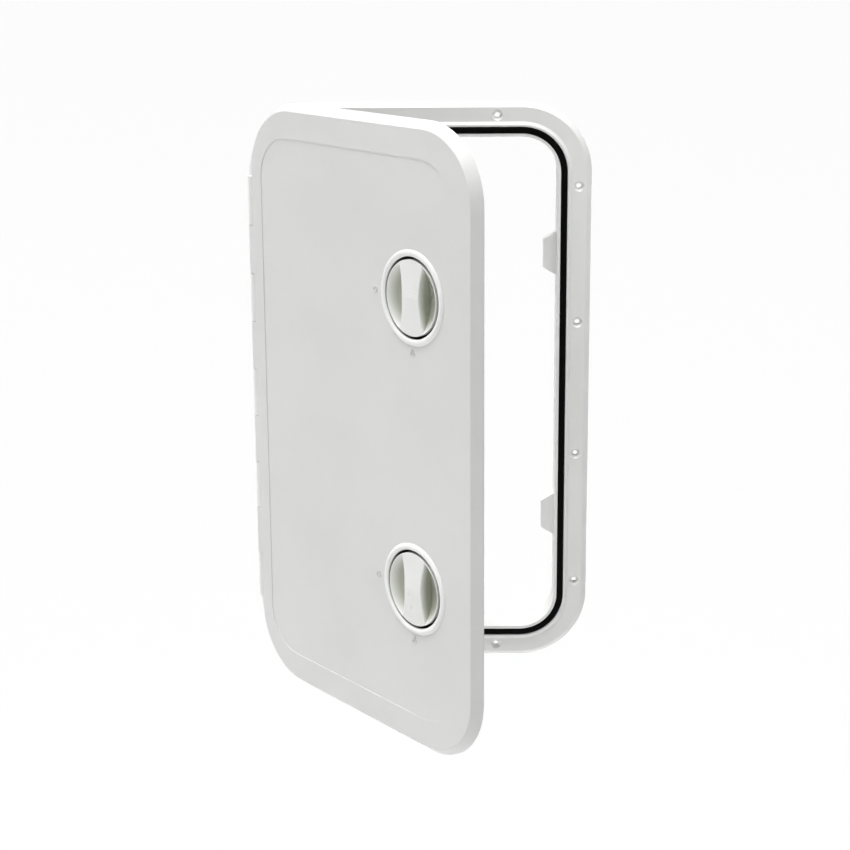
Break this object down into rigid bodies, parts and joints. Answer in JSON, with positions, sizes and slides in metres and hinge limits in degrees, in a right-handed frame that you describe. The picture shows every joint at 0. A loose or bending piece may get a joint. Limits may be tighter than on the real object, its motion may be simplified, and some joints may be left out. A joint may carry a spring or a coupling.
{
  "type": "deck hatch",
  "caption": "Upright rounded access hatch with a flanged collar, a seal, a lid on a moulded piano hinge and quarter-turn dish latches.",
  "frame": {"origin": "centre of the opening on the plane where the flange meets the deck", "axes": "+Z along the long side, -Y out of the deck towards the lid, +X from the hinge to the free side"},
  "size_m": [0.3478, 0.298, 0.606],
  "materials": {
    "white_abs": "fine satin moulded ABS",
    "seal_rubber": "matte black extruded rubber",
    "stainless": "drawn stainless steel",
    "black_nylon": "glass-filled black nylon",
    "white_nylon": "natural nylon"
  },
  "bodies": {
    "frame": {"frame": "white_abs", "frame_seal": "seal_rubber", "hinge_pin": "stainless", "hinge_plug_lower": "white_abs", "hinge_plug_upper": "white_abs"},
    "lid": {"lid": "white_abs", "bezel_lower": "white_abs", "bezel_gasket_lower": "seal_rubber", "bezel_nut_lower": "black_nylon", "bezel_upper": "white_abs", "bezel_gasket_upper": "seal_rubber", "bezel_nut_upper": "black_nylon"},
    "latch_lower": {"knob_lower": "white_abs", "shaft_seal_lower": "seal_rubber", "thrust_washer_lower": "white_nylon", "shaft_clip_lower": "stainless", "cam_lower": "black_nylon", "cam_washer_lower": "stainless", "cam_screw_lower": "stainless"},
    "latch_upper": {"knob_upper": "white_abs", "shaft_seal_upper": "seal_rubber", "thrust_washer_upper": "white_nylon", "shaft_clip_upper": "stainless", "cam_upper": "black_nylon", "cam_washer_upper": "stainless", "cam_screw_upper": "stainless"}
  },
  "joints": [
    {"name": "lid_hinge", "type": "hinge", "parent": "frame", "child": "lid", "pos_m": [-0.1695, -0.012, 0], "axis": [0, 0, -1], "range_deg": [-49.7, 120.3]},
    {"name": "latch_lower_turn", "type": "hinge", "parent": "lid", "child": "latch_lower", "pos_m": [-0.00159, -0.20999, -0.1407], "axis": [-0.7627, -0.6468, 0], "range_deg": [0, 90]},
    {"name": "latch_upper_turn", "type": "hinge", "parent": "lid", "child": "latch_upper", "pos_m": [-0.00159, -0.20999, 0.1407], "axis": [-0.7627, -0.6468, 0], "range_deg": [0, 90]}
  ]
}
